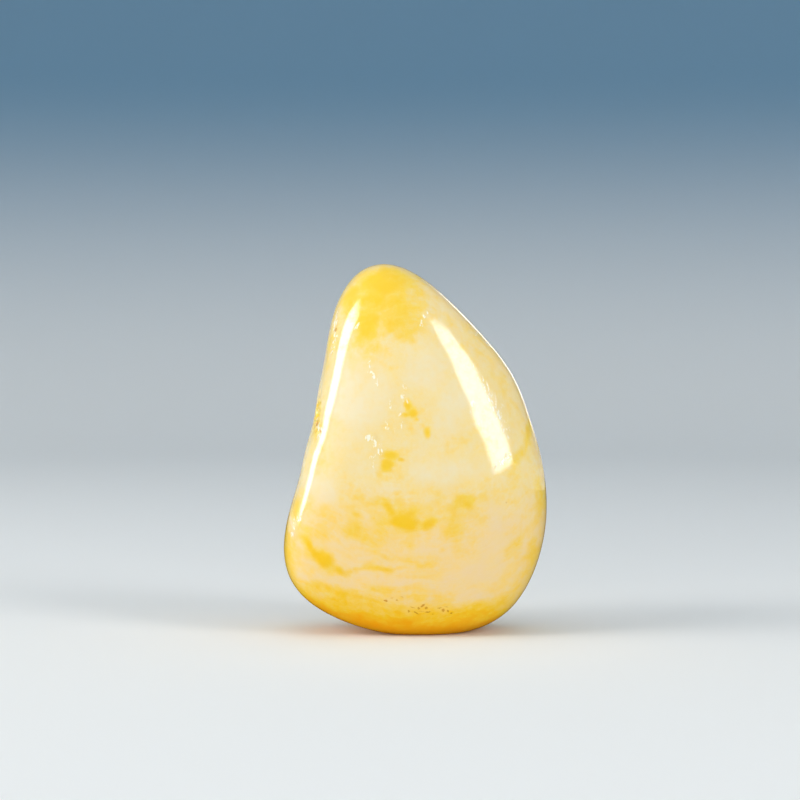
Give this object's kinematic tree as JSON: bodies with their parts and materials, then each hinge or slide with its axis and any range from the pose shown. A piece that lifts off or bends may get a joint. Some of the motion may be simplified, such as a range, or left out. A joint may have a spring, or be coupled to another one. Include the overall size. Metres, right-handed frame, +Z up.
{
  "type": "raw jade pebble",
  "caption": "Water-worn jade pebble with a waxy polished skin, a narrow crown and a broad end that it stands on.",
  "frame": {"origin": "middle of the pebble's box, at the level of the worn flat that it stands on", "axes": "+Z up from the broad end to the crown, -Y out of the front face, +X to the right as seen from the front"},
  "size_m": [0.032, 0.0194, 0.0447],
  "materials": {
    "jade": "waxy polish, translucent cream with honey-yellow clouds and a few rough scars"
  },
  "bodies": {
    "root": {"pebble": "jade"}
  },
  "joints": []
}
